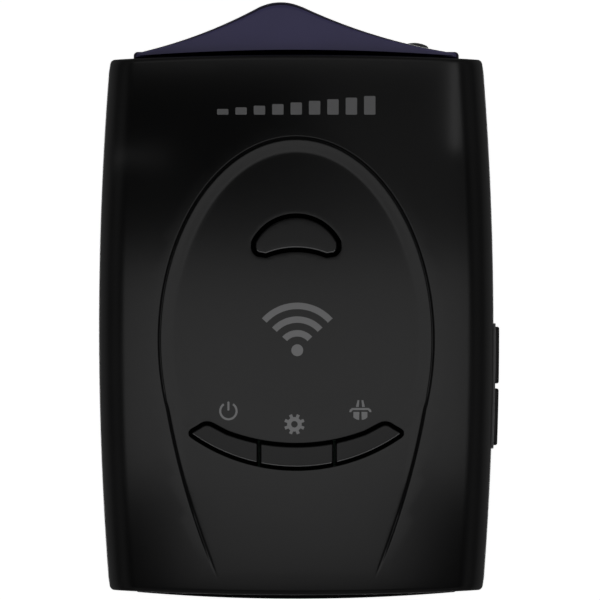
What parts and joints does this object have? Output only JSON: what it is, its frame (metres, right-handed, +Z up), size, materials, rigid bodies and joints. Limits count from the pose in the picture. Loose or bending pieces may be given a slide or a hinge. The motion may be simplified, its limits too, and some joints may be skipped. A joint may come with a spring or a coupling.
{
  "type": "radar detector",
  "caption": "Dashboard radar and laser detector with a dished top, curved key row, crescent mute key, side volume keys, tinted front lens, rear display and a quick-release bracket slot.",
  "frame": {"origin": "middle of the flat underside, on the surface it rests on", "axes": "+Y towards the road and the front lens, -Y towards the driver and the display, +Z up, +X the side with the volume keys"},
  "size_m": [0.0775, 0.1154, 0.0305],
  "materials": {
    "shell_black": "dark charcoal, satin gloss",
    "base_black": "fine matte texture",
    "lens_indigo": "deep indigo, polished, infra-red clear",
    "window_smoke": "smoked polycarbonate",
    "key_black": "satin",
    "side_key_black": "satin",
    "release_grey": "satin",
    "plunger_ivory": "plain",
    "switch_black": "plain",
    "board_green": "solder mask over glass-epoxy laminate",
    "chip_black": "moulded epoxy",
    "shield_steel": "tinned sheet",
    "capacitor_can": "sleeved can",
    "ferrite": "sintered ferrite",
    "ceramic_tan": "fired ceramic",
    "zinc_cast": "die-cast, as cast",
    "microwave_laminate": "copper-clad laminate",
    "diode_red": "infra-red filter resin",
    "optic_clear": "polished",
    "panel_dark": "display glass",
    "ribbon_amber": "polyimide film",
    "foam_grey": "closed-cell foam",
    "speaker_steel": "plated pressing",
    "cone_paper": "doped paper",
    "magnet_grey": "plated magnet",
    "socket_black": "moulded",
    "port_steel": "tinned shell",
    "label_silver": "blank foil label",
    "latch_acetal": "acetal",
    "spring_steel": "drawn wire",
    "screw_black": "black oxide",
    "screw_zinc": "zinc plated"
  },
  "bodies": {
    "housing": {"top_shell": "shell_black", "bottom_shell": "base_black", "front_lens": "lens_indigo", "display_window": "window_smoke", "top_switches": "switch_black", "side_switches": "switch_black", "main_board": "board_green", "processor_chip": "chip_black", "shield_can": "shield_steel", "memory_chips": "chip_black", "capacitors": "capacitor_can", "backup_capacitor": "capacitor_can", "inductor": "ferrite", "gps_patch_antenna": "ceramic_tan", "gps_module": "shield_steel", "microwave_horn": "zinc_cast", "microwave_board": "microwave_laminate", "microwave_cover": "shield_steel", "laser_board": "board_green", "laser_diode": "diode_red", "laser_lens_holder": "socket_black", "laser_focus_lens": "optic_clear", "display_panel": "panel_dark", "display_board": "board_green", "display_ribbon": "ribbon_amber", "speaker_gasket": "foam_grey", "speaker_frame": "speaker_steel", "speaker_cone": "cone_paper", "speaker_magnet": "magnet_grey", "power_jack": "socket_black", "usb_port": "port_steel", "rating_label": "label_silver", "latch_spring": "spring_steel", "housing_screws": "screw_black", "board_screws": "screw_zinc", "horn_screws": "screw_zinc"},
    "power_button_unit": {"power_button": "key_black", "power_plunger": "plunger_ivory"},
    "settings_button_unit": {"settings_button": "key_black", "settings_plunger": "plunger_ivory"},
    "mode_button_unit": {"mode_button": "key_black", "mode_plunger": "plunger_ivory"},
    "mute_button_unit": {"mute_button": "key_black", "mute_plunger": "plunger_ivory"},
    "volume_up_unit": {"volume_up_button": "side_key_black", "volume_up_plunger": "plunger_ivory"},
    "volume_down_unit": {"volume_down_button": "side_key_black", "volume_down_plunger": "plunger_ivory"},
    "release_button_unit": {"release_button": "release_grey"},
    "latch_unit": {"bracket_latch": "latch_acetal"}
  },
  "joints": [
    {"name": "power_press", "type": "slide", "parent": "housing", "child": "power_button_unit", "axis": [0, 0, -1], "range_m": [0, 0.00045], "stiffness_N_per_m": 1800},
    {"name": "settings_press", "type": "slide", "parent": "housing", "child": "settings_button_unit", "axis": [0, 0, -1], "range_m": [0, 0.00045], "stiffness_N_per_m": 1800},
    {"name": "mode_press", "type": "slide", "parent": "housing", "child": "mode_button_unit", "axis": [0, 0, -1], "range_m": [0, 0.00045], "stiffness_N_per_m": 1800},
    {"name": "mute_press", "type": "slide", "parent": "housing", "child": "mute_button_unit", "axis": [0, 0, -1], "range_m": [0, 0.00045], "stiffness_N_per_m": 1800},
    {"name": "volume_up_press", "type": "slide", "parent": "housing", "child": "volume_up_unit", "axis": [-1, 0, 0], "range_m": [0, 0.0004], "stiffness_N_per_m": 1800},
    {"name": "volume_down_press", "type": "slide", "parent": "housing", "child": "volume_down_unit", "axis": [-1, 0, 0], "range_m": [0, 0.0004], "stiffness_N_per_m": 1800},
    {"name": "release_press", "type": "slide", "parent": "housing", "child": "release_button_unit", "axis": [0, -1, 0], "range_m": [0, 0.0015], "stiffness_N_per_m": 300},
    {"name": "latch_slide", "type": "slide", "parent": "housing", "child": "latch_unit", "axis": [1, 0, 0], "range_m": [0, 0.0015], "stiffness_N_per_m": 600, "deforming": ["latch_spring"]}
  ],
  "couplings": [
    {"joint": "latch_slide", "follows": "release_press", "ratio": 1}
  ]
}
